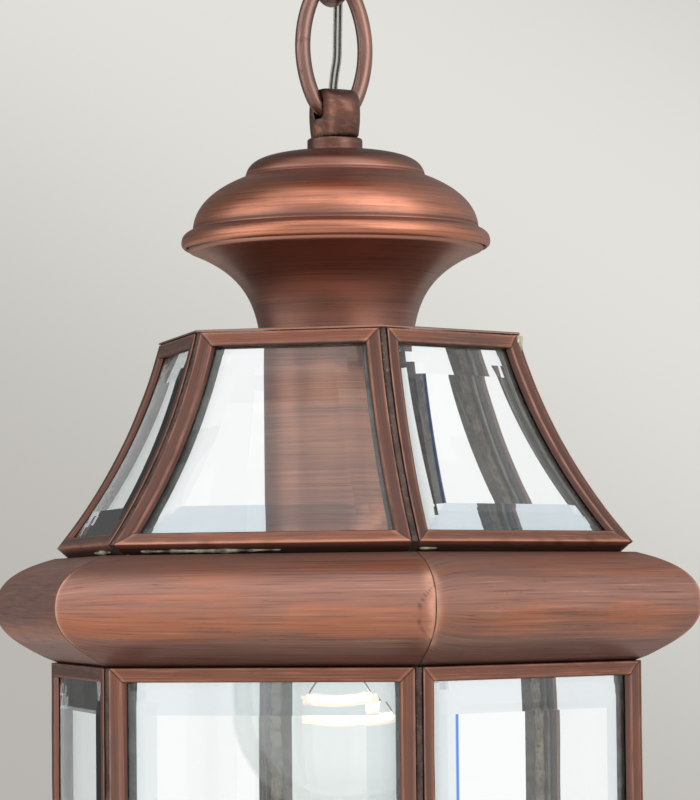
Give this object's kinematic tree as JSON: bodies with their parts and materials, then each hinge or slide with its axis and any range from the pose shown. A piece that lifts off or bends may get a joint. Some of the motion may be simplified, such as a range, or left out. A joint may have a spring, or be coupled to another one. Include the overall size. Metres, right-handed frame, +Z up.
{
  "type": "hanging chain lantern",
  "caption": "Hexagonal copper lantern with bent and flat bevelled glass in mitred frames, a half-round belt and a spun cap, hung on oval chain links from a ceiling rose.",
  "frame": {"origin": "middle of the ceiling rose, on the ceiling", "axes": "+Z up through the chain and the lantern; the front pane faces -Y"},
  "size_m": [0.254, 0.22, 0.574],
  "materials": {
    "aged_copper": "brushed, darkened and lacquered copper",
    "chain_copper": "smooth darkened copper",
    "raw_brass": "plain threaded brass",
    "plated_steel": "zinc or nickel plated",
    "bevelled_glass": "clear, bevelled edges",
    "bulb_glass": "clear blown glass",
    "filament": "glowing wire",
    "solder": "dull grey solder",
    "clear_cord": "clear flexible plastic over two cores",
    "white_plastic": "moulded, satin"
  },
  "bodies": {
    "ceiling_rose": {"crossbar": "plated_steel", "ceiling_nipple": "raw_brass", "ceiling_locknut": "raw_brass", "terminal_block": "white_plastic", "ceiling_canopy": "aged_copper", "canopy_collar": "aged_copper", "canopy_loop": "aged_copper", "cord": "clear_cord"},
    "link_3": {"chain_link_3": "chain_copper"},
    "link_2": {"chain_link_2": "chain_copper"},
    "link_1": {"chain_link_1": "chain_copper"},
    "lantern": {"hang_loop": "aged_copper", "loop_collar": "aged_copper", "hang_nipple": "raw_brass", "hang_locknut": "raw_brass", "cap_dome": "aged_copper", "cap_neck": "aged_copper", "top_plate": "aged_copper", "socket_tube": "aged_copper", "lampholder_cap": "white_plastic", "lampholder_shell": "white_plastic", "bulb_cap": "plated_steel", "bulb_glass": "bulb_glass", "bulb_filament": "filament", "roof_glass_1": "bevelled_glass", "roof_glass_2": "bevelled_glass", "roof_glass_3": "bevelled_glass", "roof_glass_4": "bevelled_glass", "roof_glass_5": "bevelled_glass", "roof_glass_6": "bevelled_glass", "roof_frame_1": "aged_copper", "roof_frame_2": "aged_copper", "roof_frame_3": "aged_copper", "roof_frame_4": "aged_copper", "roof_frame_5": "aged_copper", "roof_frame_6": "aged_copper", "roof_solder": "solder", "belt_1": "aged_copper", "belt_2": "aged_copper", "belt_3": "aged_copper", "belt_4": "aged_copper", "belt_5": "aged_copper", "belt_6": "aged_copper", "body_glass_1": "bevelled_glass", "body_glass_2": "bevelled_glass", "body_glass_3": "bevelled_glass", "body_glass_4": "bevelled_glass", "body_glass_5": "bevelled_glass", "body_glass_6": "bevelled_glass", "body_frame_1": "aged_copper", "body_frame_2": "aged_copper", "body_frame_3": "aged_copper", "body_frame_4": "aged_copper", "body_frame_5": "aged_copper", "body_frame_6": "aged_copper", "body_solder": "solder", "base_moulding": "aged_copper"}
  },
  "joints": [
    {"name": "link_3_swing", "type": "hinge", "parent": "ceiling_rose", "child": "link_3", "pos_m": [0, 0, -0.0523], "axis": [0.7071, 0.7071, 0], "range_deg": [-30, 30], "deforming": ["cord"]},
    {"name": "link_2_swing", "type": "hinge", "parent": "link_3", "child": "link_2", "pos_m": [0, 0, -0.09225], "axis": [-0.7071, 0.7071, 0], "range_deg": [-30, 30]},
    {"name": "link_1_swing", "type": "hinge", "parent": "link_2", "child": "link_1", "pos_m": [0, 0, -0.13785], "axis": [-0.7071, 0.7071, 0], "range_deg": [-30, 30]},
    {"name": "lantern_swing", "type": "hinge", "parent": "link_1", "child": "lantern", "pos_m": [0, 0, -0.1778], "axis": [0.7071, 0.7071, 0], "range_deg": [-30, 30]}
  ]
}
